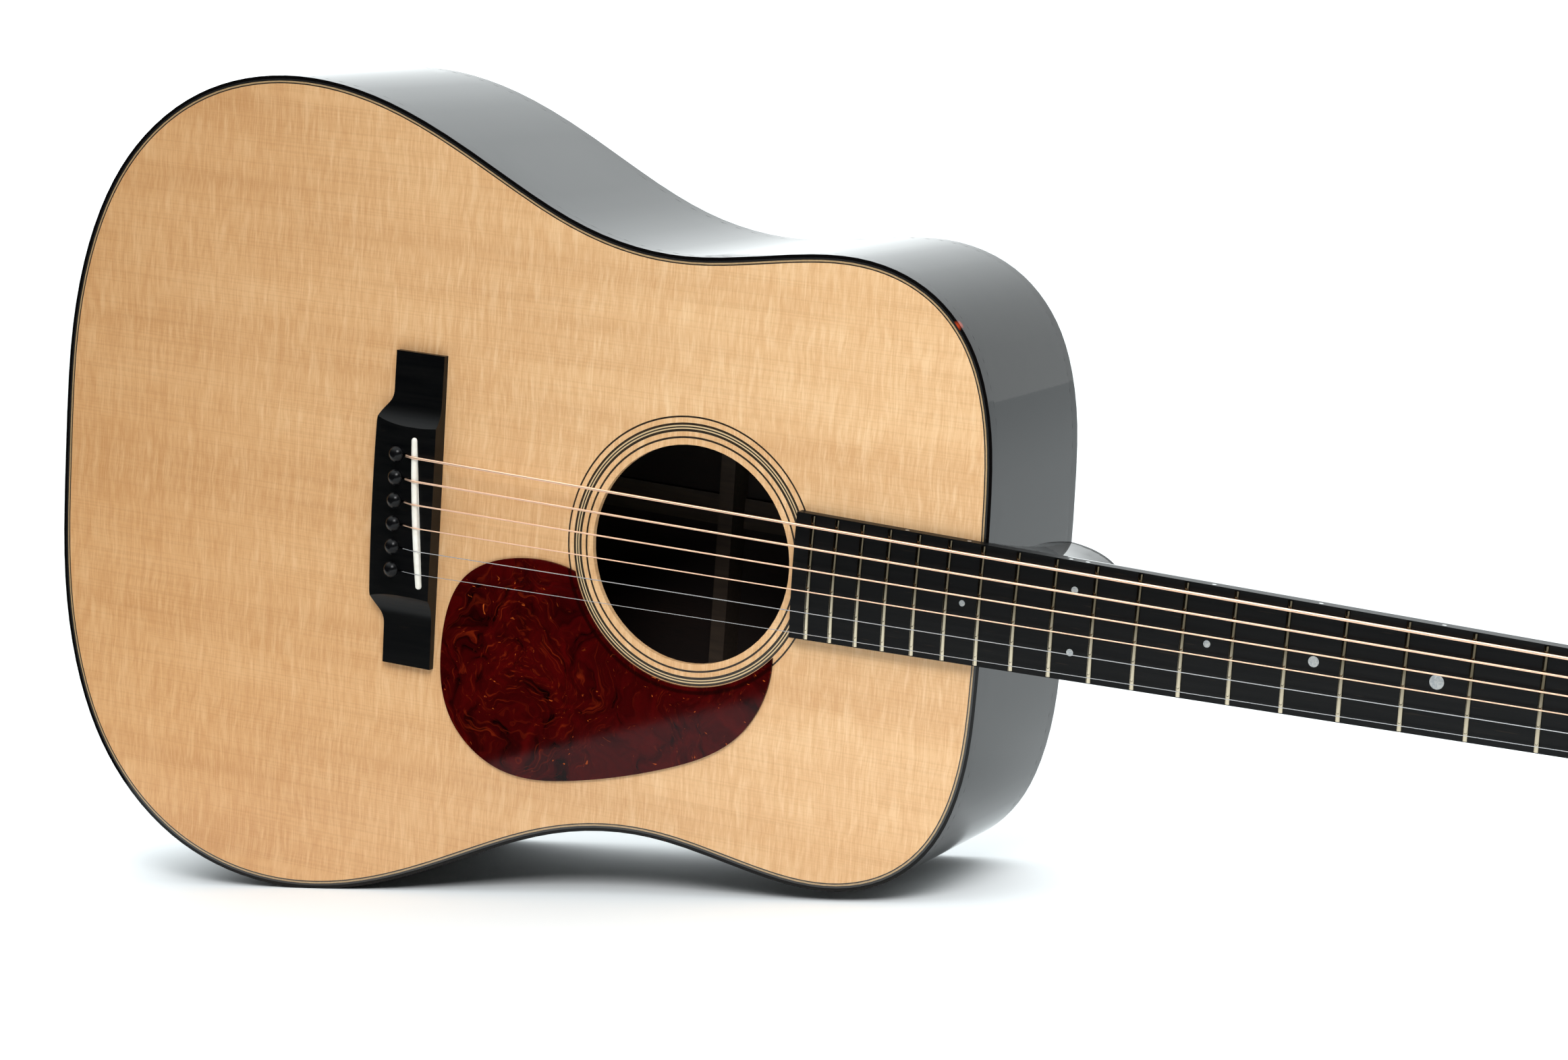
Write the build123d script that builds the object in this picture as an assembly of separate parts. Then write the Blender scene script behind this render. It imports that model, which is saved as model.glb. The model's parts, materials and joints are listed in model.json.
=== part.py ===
from build123d import *
import functools
import math
import os

# Steel-string dreadnought guitar, in millimetres.
# It is drawn in its own lengthwise frame: x runs up the centreline towards the head, y runs across
# it to the bass side, and z points out of the soundboard, whose outer face is z = 0.
# At the end it is stood on its treble side, resting on its lower bout and its last treble tuner button.

# ---- scale and body ----
SCALE_LENGTH = 645.2
TAIL_X = 4.2
BODY_END = 508.0
BODY_FRET = 14
FRET_COUNT = 20
TOP_THICK = 2.8
BACK_THICK = 2.6
SIDE_THICK = 2.2
DEPTH_TAIL = 126.0
DEPTH_NECK = 98.8
BACK_RADIUS = 4600.0
BINDING_WIDTH = 1.5
BINDING_HEIGHT = 6.0
PURFLING_WIDTH = 2.3
# The purfling's light and dark lines, each from one distance to the next inside the binding.
PURFLING_LINES = [0, 1.0, 1.3, 1.75, 2.3]
PURFLING_DEPTH = 1.4
LINING_WIDTH = 5.8
LINING_HEIGHT = 13.0
# Half outline from the tail to the neck: where along the body, and how far out.
HALF_OUTLINE = [
    (TAIL_X, 0),
    (9.8, 88),
    (32, 145.4),
    (76, 185.6),
    (133, 199.6),
    (184, 192.5),
    (240, 169.5),
    (298, 144.2),
    (345, 137.3),
    (400, 144),
    (440, 145.8),
    (472, 134.8),
    (494.2, 111),
    (504, 82.8),
    (507.4, 50),
    (508, 20),
    (508, 0),
]

OUTLINE_STEPS = 32

# ---- soundhole, rosette and pickguard ----
HOLE_X = 359.4
HOLE_RADIUS = 51.3
ROSETTE_RINGS = [(54.3, 55.2), (57.4, 61.5), (63.9, 64.7)]
ROSETTE_DEPTH = 1.2
GUARD_THICK = 1.2
GUARD_RING_RADIUS = 61.9

# ---- bridge, saddle and pins ----
BRIDGE_FRONT = 224.6
BRIDGE_WING_REAR = 198.0
BRIDGE_BELLY_REAR = 189.6
BRIDGE_HALF = 76.0
BRIDGE_BLOCK_HALF = 41.0
BRIDGE_FRONT_HEIGHT = 8.2
BRIDGE_REAR_HEIGHT = 5.8
BRIDGE_BLOCK_HEIGHT = 8.8
BRIDGE_WING_HEIGHT = 3.3
SADDLE_X = 216.6
SADDLE_SLANT = 0.085
SADDLE_HALF = 36.5
SADDLE_WIDTH = 3.0
SADDLE_TOP = 11.7
SADDLE_SEAT = 4.0
PIN_X = 204.0
PIN_PITCH = 11.2
PIN_FIRST_Y = 27.2
PIN_TOP_RADIUS = 2.6
PIN_TIP_RADIUS = 2.1
PIN_HEAD_RADIUS = 3.9
PIN_HEAD_HEIGHT = 3.4
PIN_LENGTH = 24.0
PIN_CLEARANCE = 0.05
PLATE_THICK = 2.5
STRING_AHEAD_OF_PIN = 5.6

# ---- neck, fingerboard and strings ----
NECK_WIDTH_NUT = 42.9
BOARD_END_WIDTH = 58.4
BOARD_END_X = 415.3
BOARD_THICK = 6.35
BOARD_RADIUS = 406.0
NECK_DEPTH_NUT = 14.8
NECK_DEPTH_BODY = 19.0
FRET_WIDTH = 2.3
FRET_HEIGHT = 1.05
FRET_INSET = 0.6
NUT_LENGTH = 4.8
NUT_TOP = 9.0
NUT_STRING_BASE = 7.9
NUT_STRING_HALF = 18.0
HEEL_CAP_THICK = 2.5
TENON_HALF = 11.0
TENON_LENGTH = 34.0
TENON_BOTTOM = -72.0
ROD_RADIUS = 2.4
ROD_DEPTH = -9.0
ROD_NUT_RADIUS = 4.5
ROD_NUT_LENGTH = 12.0
STRING_DIAMETERS = [1.35, 1.07, 0.81, 0.61, 0.41, 0.30]

# ---- headstock and tuners ----
HEAD_ANGLE = 15.0
HEAD_LENGTH = 156.0
HEAD_THICK = 15.0
HEAD_PLATE_THICK = 2.0
HEAD_HALF_NUT = 22.0
HEAD_HALF_BASE = 33.0
HEAD_HALF_TIP = 37.5
POST_FIRST = 38.0
POST_SPACING = 38.0
POST_OFFSET = 25.0
POST_RADIUS = 3.0
POST_TOP = 16.0
STRING_WIND_TOP = 9.5
WIND_TURNS = 3
WIND_GAP = 0.15
GEAR_TEETH = 14
GEAR_MODULE = 0.75
GEAR_THICK = 4.0
WORM_PITCH_RADIUS = 2.75
WORM_ROOT_RADIUS = 1.95
WORM_TIP_RADIUS = 3.3
WORM_THREAD_ROOT = 0.95
WORM_THREAD_TIP = 0.5
WORM_TURNS = 3
BASE_THICK = 1.2
SHAFT_RADIUS = 1.6
LUG_OFFSET = 7.5
BUTTON_NEAR = 19.0
BUTTON_LENGTH = 15.5
RUNNING_GAP = 0.06
SCREW_RADIUS = 1.15
SCREW_TIP = -7.0

# ---- values worked out from those ----
NUT_X = BODY_END + SCALE_LENGTH * (1 - 2 ** (-BODY_FRET / 12))
HEAD_X = NUT_X + NUT_LENGTH
BOARD_TAPER = (BOARD_END_WIDTH - NECK_WIDTH_NUT) / (NUT_X - BOARD_END_X)
GEAR_RADIUS = GEAR_TEETH * GEAR_MODULE / 2
WORM_PITCH = math.pi * GEAR_MODULE
WORM_OFFSET = GEAR_RADIUS + WORM_PITCH_RADIUS
GEAR_TOP = -HEAD_THICK - BASE_THICK - WORM_TIP_RADIUS - 0.3 + GEAR_THICK / 2
GEAR_MIDDLE = GEAR_TOP - GEAR_THICK / 2
BACK_CENTRE_X = (BODY_END ** 2 - (DEPTH_TAIL - DEPTH_NECK) * 2 * BACK_RADIUS) / (2 * BODY_END)
BACK_LOWEST = -DEPTH_TAIL - BACK_CENTRE_X ** 2 / (2 * BACK_RADIUS)
HEAD_PLANE = Plane(
    origin=(HEAD_X, 0, 1.0),
    x_dir=(math.cos(math.radians(HEAD_ANGLE)), 0, -math.sin(math.radians(HEAD_ANGLE))),
    z_dir=(math.sin(math.radians(HEAD_ANGLE)), 0, math.cos(math.radians(HEAD_ANGLE))),
)


def fret_x(number):
    return NUT_X - SCALE_LENGTH * (1 - 2 ** (-number / 12))


def board_width(x):
    return NECK_WIDTH_NUT + (NUT_X - x) * BOARD_TAPER


def block(x0, x1, y0, y1, z0, z1):
    """A box between two corners."""
    return Pos((x0 + x1) / 2, (y0 + y1) / 2, (z0 + z1) / 2) * Box(x1 - x0, y1 - y0, z1 - z0)


def disc(x, y, z0, z1, radius):
    """An upright cylinder between two heights."""
    return Pos(x, y, (z0 + z1) / 2) * Cylinder(radius, z1 - z0)


def ring(x, y, z0, z1, inner, outer):
    return disc(x, y, z0, z1, outer) - disc(x, y, z0 - 1, z1 + 1, inner)


def bass_half(shape):
    return shape & block(-50, 600, 0, 300, -200, 50)


def treble_half(shape):
    return shape & block(-50, 600, -300, 0, -200, 50)


# ---------------------------------------------------------------- body outline
@functools.lru_cache
def plan(inset):
    """The body's face seen from the front, drawn in by a distance."""
    ends = [(0, 1), (0, -1)]
    bass = Spline(*HALF_OUTLINE, tangents=ends)
    if inset:
        steps = [step / OUTLINE_STEPS for step in range(OUTLINE_STEPS + 1)]
        inner = [bass @ t + (bass % t).rotate(Axis.Z, -90) * inset for t in steps]
        bass = Spline(*inner, tangents=ends)
    return make_face([bass, mirror(bass, Plane.XZ)])


@functools.lru_cache
def prism(inset):
    """The body's outline as a solid, from above the soundboard to below the back."""
    return extrude(Pos(0, 0, -170) * plan(inset), amount=180)


def slab(inset, low, high):
    return prism(inset) & block(-50, 600, -300, 300, low, high)


def wall(outer, inner):
    return prism(outer) - prism(inner)


@functools.lru_cache
def back_ball(inside):
    """The arched back's sphere, a distance inside its outer face."""
    centre = Pos(BACK_CENTRE_X, 0, BACK_LOWEST + BACK_RADIUS)
    return centre * Rot(90, 0, 0) * Sphere(BACK_RADIUS - inside)


def above_back(shape, inside):
    return shape & back_ball(inside)


# ---------------------------------------------------------------- soundboard
def pin_y(index):
    return PIN_FIRST_Y - index * PIN_PITCH


def pin_holes():
    """Tapered pin holes with the slots that the strings come up through."""
    cuts = []
    for index in range(6):
        y = pin_y(index)
        bottom = BRIDGE_BLOCK_HEIGHT - PIN_LENGTH
        hole = Cone(PIN_TIP_RADIUS + PIN_CLEARANCE, PIN_TOP_RADIUS + PIN_CLEARANCE, PIN_LENGTH)
        cuts.append(Pos(PIN_X, y, (bottom + BRIDGE_BLOCK_HEIGHT) / 2) * hole)
        half = STRING_DIAMETERS[index] / 2 + 0.2
        cuts.append(block(PIN_X, PIN_X + STRING_AHEAD_OF_PIN + 1.5, y - half, y + half, -20, 20))
    return cuts


def rosette():
    return [ring(HOLE_X, 0, -ROSETTE_DEPTH, 0, inner, outer) for inner, outer in ROSETTE_RINGS]


def top_purfling():
    """Four inlaid lines, light and dark in turn, each its own strip."""
    floor = block(-50, 600, -300, 300, -PURFLING_DEPTH, 0)
    edges = [BINDING_WIDTH + distance for distance in PURFLING_LINES]
    return [wall(outer, inner) & floor for outer, inner in zip(edges, edges[1:])]


def soundboard():
    lower = slab(BINDING_WIDTH, -TOP_THICK, -PURFLING_DEPTH)
    board = lower + slab(BINDING_WIDTH + PURFLING_WIDTH, -TOP_THICK, 0)
    board -= disc(HOLE_X, 0, -10, 10, HOLE_RADIUS)
    for inlay in rosette():
        board -= inlay
    for cut in pin_holes():
        board -= cut
    return board


def top_binding():
    return wall(0, BINDING_WIDTH) & block(-50, 600, -300, 300, -BINDING_HEIGHT, 0)


# ---------------------------------------------------------------- back and sides
def back():
    return above_back(prism(BINDING_WIDTH), 0) - back_ball(BACK_THICK) & block(-50, 600, -300, 300, -170, -50)


def back_binding():
    edge = above_back(wall(0, BINDING_WIDTH), 0) - back_ball(BINDING_HEIGHT)
    return edge & block(-50, 600, -300, 300, -170, -50)


def tenon():
    return block(BODY_END - TENON_LENGTH, BODY_END + 4, -TENON_HALF, TENON_HALF, TENON_BOTTOM, -BINDING_HEIGHT)


END_PIN_Z = -62.0


def end_pin():
    """A turned strap button whose peg goes through the side into the tail block."""
    peg = Pos(2, 0, 0) * Rot(0, 90, 0) * Cylinder(3.9, 36)
    flange = Pos(-2.2, 0, 0) * Rot(0, 90, 0) * Cylinder(6.8, 4)
    neck = Pos(-6.0, 0, 0) * Rot(0, 90, 0) * Cylinder(4.2, 4)
    head = Pos(-9.8, 0, 0) * Rot(0, 90, 0) * Cylinder(7.4, 4.2)
    head = fillet(head.edges().filter_by(GeomType.CIRCLE), 1.6)
    peg = peg & block(0, 40, -10, 10, -10, 10)
    return Pos(TAIL_X, 0, END_PIN_Z) * (peg + (flange & block(-20, 0.0, -10, 10, -10, 10)) + neck + head)


def sides():
    rim = wall(0, SIDE_THICK) & block(-50, 600, -300, 300, -170, -TOP_THICK)
    rim = above_back(rim, BACK_THICK)
    return rim - top_binding() - back_binding() - tenon() - end_pin()


def inner_space(inset):
    """Everything inside the sides, between the soundboard and the back."""
    return above_back(slab(inset, -170, -TOP_THICK), BACK_THICK)


def neck_block():
    body = inner_space(SIDE_THICK) & block(448, 520, -46, 46, -170, 0)
    access = block(440, BODY_END - TENON_LENGTH + 1, -6, 6, ROD_DEPTH - 7, 0)
    return body - tenon() - access


def tail_block():
    return (inner_space(SIDE_THICK) & block(TAIL_X, TAIL_X + 22, -45, 45, -170, 0)) - end_pin()


def linings():
    """Glued strips that widen the joints of the sides with the soundboard and the back."""
    strip = wall(SIDE_THICK, SIDE_THICK + LINING_WIDTH)
    blocks = block(-5, 22, -45, 45, -170, 0) + block(448, 520, -46, 46, -170, 0)
    top = (strip & block(-50, 600, -300, 300, -TOP_THICK - LINING_HEIGHT, -TOP_THICK)) - blocks
    low = above_back(strip & block(-50, 600, -300, 300, -170, -50), BACK_THICK)
    low = low - back_ball(BACK_THICK + LINING_HEIGHT) - blocks
    return top, low


# ---------------------------------------------------------------- braces
def top_brace(start, end, width, height):
    """A bar glued under the soundboard, with its ends swept up to it."""
    length = math.dist(start, end)
    ramp = min(45.0, length * 0.3)
    profile = make_face(
        Polyline((0, 0), (0, -3), (ramp, -height), (length - ramp, -height), (length, -3), (length, 0), close=True)
    )
    direction = Vector(end[0] - start[0], end[1] - start[1], 0).normalized()
    side = Vector(0, 0, 1).cross(direction)
    plane = Plane(origin=(start[0], start[1], -TOP_THICK), x_dir=direction, z_dir=-side)
    bar = extrude(plane * profile, amount=width / 2, both=True)
    return bar & prism(SIDE_THICK + LINING_WIDTH)


X_UPPER = (384.0, 130.0)
X_LOWER = (110.0, 197.0)


def x_brace():
    """Two legs that cross ahead of the bridge, each notched to half its height for the other."""
    bass = top_brace((X_UPPER[0], -X_UPPER[1]), (X_LOWER[0], X_LOWER[1]), 8, 15)
    treble = top_brace((X_UPPER[0], X_UPPER[1]), (X_LOWER[0], -X_LOWER[1]), 8, 15)
    lap = bass & treble
    middle = -TOP_THICK - 7.5
    bass = bass - (lap & block(0, 500, -200, 200, middle, 0))
    treble = treble - (lap & block(0, 500, -200, 200, -50, middle))
    return bass, treble


def bridge_plate():
    plate = block(190, 232, -70, 70, -TOP_THICK - PLATE_THICK, -TOP_THICK)
    for cut in pin_holes():
        plate -= cut
    for leg in x_brace():
        plate -= leg
    return max(plate.solids(), key=lambda piece: piece.volume)


def tone_bars():
    return top_brace((174, 92), (126, -132), 7, 12), top_brace((124, 122), (70, -112), 7, 11)


def finger_braces():
    bars = []
    for side in (1, -1):
        bars.append(top_brace((250, side * 62), (262, side * 150), 6, 8))
        bars.append(top_brace((208, side * 112), (216, side * 175), 6, 8))
    return bars


def upper_braces():
    """The transverse brace under the fingerboard's end, and a flat bar on each side of the soundhole."""
    key_hole = Pos(436, 0, ROD_DEPTH) * Rot(0, 90, 0) * Cylinder(ROD_NUT_RADIUS, 20)
    bars = [top_brace((436, -140), (436, 140), 11, 18) - key_hole]
    for side in (1, -1):
        bar = top_brace((354, side * 61), (428, side * 61), 10, 4)
        for leg in x_brace():
            bar = bar - leg
        bars.append(max(bar.solids(), key=lambda piece: piece.volume))
    return bars


BACK_BRACES = [(424, 8, 14), (327, 8, 15), (212, 16, 9), (104, 16, 9)]


def back_brace(x, width, height):
    bar = prism(SIDE_THICK + LINING_WIDTH) & block(x - width / 2, x + width / 2, -300, 300, -170, -50)
    return above_back(bar, BACK_THICK) - back_ball(BACK_THICK + height)


def back_centre_strip():
    """The cross-grain strip over the back's centre joint, in lengths between the braces."""
    strip = block(TAIL_X + 23, 447, -7.5, 7.5, -170, -50)
    strip = above_back(strip, BACK_THICK) - back_ball(BACK_THICK + 2.2)
    for x, width, height in BACK_BRACES:
        strip -= block(x - width / 2, x + width / 2, -20, 20, -170, 0)
    return strip


# ---------------------------------------------------------------- pickguard, bridge, saddle and pins
def pickguard():
    """A teardrop plate whose inner edge follows the rosette."""
    def on_ring(degrees):
        angle = math.radians(degrees)
        return HOLE_X + GUARD_RING_RADIUS * math.cos(angle), GUARD_RING_RADIUS * math.sin(angle)

    left = on_ring(-164.4)
    right = on_ring(-41.8)
    inner = ThreePointArc(left, on_ring(-96), right)
    outer = Spline(
        right, (403.7, -57.2), (390, -81.5), (353.6, -102.7), (307, -116.7), (261.4, -117.6),
        (236.5, -98.5), (229.2, -62), (240, -28.5), (268, -15), left,
    )
    face = make_face([inner, outer])
    return extrude(face, amount=GUARD_THICK)


def bridge_dome():
    """A long solid with the bridge's crowned end section, highest between the pins and the saddle."""
    crest = ThreePointArc(
        (BRIDGE_BELLY_REAR - 1, BRIDGE_REAR_HEIGHT),
        (PIN_X + 4, BRIDGE_BLOCK_HEIGHT),
        (BRIDGE_FRONT + 1, BRIDGE_FRONT_HEIGHT - 0.3),
    )
    sides = Polyline(crest @ 1, (BRIDGE_FRONT + 1, 0), (BRIDGE_BELLY_REAR - 1, 0), crest @ 0)
    section = Plane.XZ * make_face([crest, sides])
    return extrude(section, amount=BRIDGE_HALF + 4, both=True)


def bridge():
    """A belly bridge: thick where the strings anchor, scooped down to thin wings."""
    def rear(side):
        return Spline(
            (BRIDGE_WING_REAR, side * 57),
            (BRIDGE_BELLY_REAR + 4.6, side * 49),
            (BRIDGE_BELLY_REAR + 0.8, side * 40),
            tangents=[(0, -side), (0, -side)],
        )

    corner_front = (BRIDGE_FRONT, BRIDGE_HALF)
    outline = [
        Line((BRIDGE_FRONT, -BRIDGE_HALF), corner_front),
        Line(corner_front, (BRIDGE_WING_REAR, BRIDGE_HALF)),
        Line((BRIDGE_WING_REAR, BRIDGE_HALF), (BRIDGE_WING_REAR, 57)),
        rear(1),
        ThreePointArc((BRIDGE_BELLY_REAR + 0.8, 40), (BRIDGE_BELLY_REAR, 0), (BRIDGE_BELLY_REAR + 0.8, -40)),
        rear(-1),
        Line((BRIDGE_WING_REAR, -57), (BRIDGE_WING_REAR, -BRIDGE_HALF)),
        Line((BRIDGE_WING_REAR, -BRIDGE_HALF), (BRIDGE_FRONT, -BRIDGE_HALF)),
    ]
    body = extrude(make_face(outline), amount=BRIDGE_BLOCK_HEIGHT + 1) & bridge_dome()
    for side in (1, -1):
        scoop_line = [
            ThreePointArc(
                (side * BRIDGE_BLOCK_HALF, BRIDGE_BLOCK_HEIGHT),
                (side * 45.5, 5.4),
                (side * 53, BRIDGE_WING_HEIGHT + 0.4),
            ),
            Line((side * 53, BRIDGE_WING_HEIGHT + 0.4), (side * 80, BRIDGE_WING_HEIGHT)),
            Line((side * 80, BRIDGE_WING_HEIGHT), (side * 80, 20)),
            Line((side * 80, 20), (side * BRIDGE_BLOCK_HALF, 20)),
            Line((side * BRIDGE_BLOCK_HALF, 20), (side * BRIDGE_BLOCK_HALF, BRIDGE_BLOCK_HEIGHT)),
        ]
        scoop = Plane(origin=(180, 0, 0), x_dir=(0, 1, 0), z_dir=(1, 0, 0)) * make_face(scoop_line)
        body -= extrude(scoop, amount=60)
    for cut in pin_holes():
        body -= cut
    return body - saddle_blank(0.0, 20.0)


def saddle_x(y):
    return SADDLE_X - SADDLE_SLANT * y


def saddle_blank(extra, top):
    """The slanted bar, with round ends, that the saddle and its slot share."""
    angle = math.degrees(math.atan(SADDLE_SLANT))
    bar = SlotOverall(2 * SADDLE_HALF + extra, SADDLE_WIDTH + extra)
    base = BRIDGE_BLOCK_HEIGHT - SADDLE_SEAT
    return Pos(SADDLE_X, 0, base) * Rot(0, 0, 90 + angle) * extrude(bar, amount=top - base)


def crown(top):
    """A solid under a surface arched across the strings at the fingerboard's radius."""
    return Pos(500, 0, top - BOARD_RADIUS) * Rot(0, 90, 0) * Cylinder(BOARD_RADIUS, 1400)


def saddle():
    """A bone saddle with a full-round top, arched to the fingerboard's radius."""
    bar = saddle_blank(0.0, SADDLE_TOP + 1) & crown(SADDLE_TOP)
    return fillet(bar.faces().sort_by(Axis.Z)[-1].edges(), SADDLE_WIDTH / 2 - 0.1)


def bridge_pin(index):
    """A tapered pin with a domed head and a collar that sits on the bridge."""
    top = BRIDGE_BLOCK_HEIGHT
    shank = Pos(PIN_X, pin_y(index), top - PIN_LENGTH / 2) * Cone(PIN_TIP_RADIUS, PIN_TOP_RADIUS, PIN_LENGTH)
    collar = disc(PIN_X, pin_y(index), top, top + 1.0, PIN_HEAD_RADIUS)
    dome_radius = (PIN_HEAD_RADIUS ** 2 + (PIN_HEAD_HEIGHT - 1) ** 2) / (2 * (PIN_HEAD_HEIGHT - 1))
    dome = Pos(PIN_X, pin_y(index), top + PIN_HEAD_HEIGHT - dome_radius) * Sphere(dome_radius)
    dome = dome & disc(PIN_X, pin_y(index), top + 1.0, top + 6, PIN_HEAD_RADIUS)
    return shank + collar + dome


# ---------------------------------------------------------------- neck
def neck_section(x, width, depth):
    """A half-round neck section, flat on top."""
    plane = Plane(origin=(x, 0, 0), x_dir=(0, 1, 0), z_dir=(1, 0, 0))
    under = EllipticalCenterArc((0, 0), width / 2, depth, start_angle=180, arc_size=180)
    return plane * make_face([under, Line(under @ 1, under @ 0)])


def heel_section(z, reach, half_width):
    """A heel section at one depth: flat at the body, round towards the head."""
    plane = Plane(origin=(BODY_END - 6, 0, z), x_dir=(1, 0, 0), z_dir=(0, 0, 1))
    nose = EllipticalCenterArc((0, 0), reach, half_width, start_angle=-90, arc_size=180)
    return plane * make_face([nose, Line(nose @ 1, nose @ 0)])


HEEL_BOTTOM = -DEPTH_NECK + 1.0


def heel():
    sections = [
        heel_section(HEEL_BOTTOM + HEEL_CAP_THICK, 32, 14),
        heel_section(-70, 36, 16),
        heel_section(-45, 43, 19.5),
        heel_section(-25, 56, 23),
        heel_section(-8, 84, 26),
    ]
    return loft(sections) - prism(0)


def heel_cap():
    section = heel_section(HEEL_BOTTOM, 32, 14)
    return extrude(section, amount=HEEL_CAP_THICK) - prism(0)


def head_outline():
    half = [
        (-1.0, HEAD_HALF_NUT),
        (14, HEAD_HALF_BASE),
        (HEAD_LENGTH - 6, HEAD_HALF_TIP),
        (HEAD_LENGTH, HEAD_HALF_TIP - 6),
    ]
    other = [(x, -y) for x, y in reversed(half)]
    return make_face(Polyline(*half, *other, close=True))


def nut_space():
    return block(NUT_X - 60, HEAD_X, -40, 40, 0, 30)


def head_slab(low, high):
    return extrude(HEAD_PLANE * (Pos(0, 0, low) * head_outline()), amount=high - low)


def post_places():
    """Where the posts stand on the head: string 6 (bass) first, 1 (treble) last."""
    bass = [(POST_FIRST + POST_SPACING * step, POST_OFFSET, 1) for step in range(3)]
    treble = [(POST_FIRST + POST_SPACING * step, -POST_OFFSET, -1) for step in (2, 1, 0)]
    return bass + treble


def on_head(shape):
    return HEAD_PLANE.location * shape


def rod_channel():
    """The round bore along the neck for the truss rod."""
    start = BODY_END - TENON_LENGTH - 1
    return Pos((start + NUT_X) / 2, 0, ROD_DEPTH) * Rot(0, 90, 0) * Cylinder(ROD_RADIUS, NUT_X - start)


def neck():
    shaft = loft([
        neck_section(BODY_END - 1, board_width(BODY_END), NECK_DEPTH_BODY),
        neck_section(HEAD_X, NECK_WIDTH_NUT, NECK_DEPTH_NUT),
    ])
    body = (shaft - prism(0)) + heel() + tenon() + head_slab(-HEAD_THICK, -HEAD_PLATE_THICK)
    for x, y, side in post_places():
        body -= on_head(disc(x, y, -30, 10, POST_RADIUS + 1.0))
        for screw_x, screw_y in screw_places(x, y):
            body -= on_head(disc(screw_x, screw_y, -30, SCREW_TIP, SCREW_RADIUS))
    return body - rod_channel() - nut_space()


def head_plate():
    plate = head_slab(-HEAD_PLATE_THICK, 0) - block(NUT_X, HEAD_X, -40, 40, -20, 20)
    for x, y, side in post_places():
        plate -= on_head(disc(x, y, -30, 10, POST_RADIUS + 1.0))
    return plate


def truss_rod():
    start = BODY_END - TENON_LENGTH - 12
    length = NUT_X - 20 - start
    return Pos(start + length / 2, 0, ROD_DEPTH) * Rot(0, 90, 0) * Cylinder(ROD_RADIUS - RUNNING_GAP, length)


def truss_rod_nut():
    """The socket nut on the rod's end, turned with a key through the soundhole."""
    end = BODY_END - TENON_LENGTH - 1
    start = end - ROD_NUT_LENGTH
    body = Pos((start + end) / 2, 0, ROD_DEPTH) * Rot(0, 90, 0) * Cylinder(ROD_NUT_RADIUS, ROD_NUT_LENGTH)
    socket = Plane(origin=(start, 0, ROD_DEPTH), z_dir=(1, 0, 0)) * RegularPolygon(2.4, 6)
    return body - extrude(socket, amount=1.0) - truss_rod_space()


def truss_rod_space():
    start = BODY_END - TENON_LENGTH - 12
    return Pos(start + 10, 0, ROD_DEPTH) * Rot(0, 90, 0) * Cylinder(ROD_RADIUS, 20)


# ---------------------------------------------------------------- fingerboard, frets and nut
TOP_DOTS = [(3, 0, 6.35), (5, 0, 6.35), (7, 0, 4.8), (9, 0, 3.2), (12, 14, 3.2), (12, -14, 3.2), (15, 0, 2.8)]
SIDE_DOTS = [(3, 0), (5, 0), (7, 0), (9, 0), (12, 4), (12, -4), (15, 0), (17, 0)]


def board_blank():
    half_end = BOARD_END_WIDTH / 2
    half_nut = NECK_WIDTH_NUT / 2
    corners = [(BOARD_END_X, -half_end), (NUT_X, -half_nut), (NUT_X, half_nut), (BOARD_END_X, half_end)]
    return extrude(make_face(Polyline(*corners, close=True)), amount=BOARD_THICK) & crown(BOARD_THICK)


def between_frets(number):
    return (fret_x(number) + fret_x(number - 1)) / 2


def position_dots():
    """Round inlays in the fingerboard's face, and small ones in its bass edge."""
    blank = board_blank()
    dots = [disc(between_frets(n), y, BOARD_THICK - 1.8, 9, width / 2) & blank for n, y, width in TOP_DOTS]
    for n, along in SIDE_DOTS:
        x = between_frets(n) + along
        peg = Pos(x, board_width(x) / 2, 3.2) * Rot(90, 0, 0) * Cylinder(1.0, 3.0)
        dots.append(peg & blank)
    return dots


def fingerboard():
    board = board_blank()
    for dot in position_dots():
        board -= dot
    return board


def fret(number):
    """A crowned wire bent to the fingerboard's radius."""
    x = fret_x(number)
    axis = Axis((0, 0, BOARD_THICK - BOARD_RADIUS), (1, 0, 0))
    half_angle = math.degrees((board_width(x) / 2 - FRET_INSET) / BOARD_RADIUS)
    arch = EllipticalCenterArc((x, BOARD_THICK), FRET_WIDTH / 2, FRET_HEIGHT, start_angle=0, arc_size=180)
    profile = Plane.XZ * make_face([arch, Line(arch @ 1, arch @ 0)])
    profile = profile.rotate(axis, -half_angle)
    return revolve(profile, axis=axis, revolution_arc=2 * half_angle)


def nut_string_y(index):
    return NUT_STRING_HALF * (1 - 2 * index / 5)


def crown_drop(y):
    return y * y / (2 * BOARD_RADIUS)


def nut_point(index):
    """The middle of a string where it leaves the nut for its post."""
    y = nut_string_y(index)
    return Vector(HEAD_X, y, NUT_STRING_BASE - crown_drop(y) + STRING_DIAMETERS[index] / 2)


def nut():
    body = block(NUT_X, HEAD_X, -NECK_WIDTH_NUT / 2, NECK_WIDTH_NUT / 2, 0, NUT_TOP) & crown(NUT_TOP)
    for index in range(6):
        seat = nut_point(index)
        half = STRING_DIAMETERS[index] / 2 + 0.12
        body -= block(NUT_X - 1, HEAD_X + 1, seat.Y - half, seat.Y + half, seat.Z - half - 0.05, 12)
    return body


# ---------------------------------------------------------------- strings
def saddle_point(index):
    y = pin_y(index)
    return Vector(saddle_x(y) - 0.6, y, SADDLE_TOP - crown_drop(y) + STRING_DIAMETERS[index] / 2 + 0.05)


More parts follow.
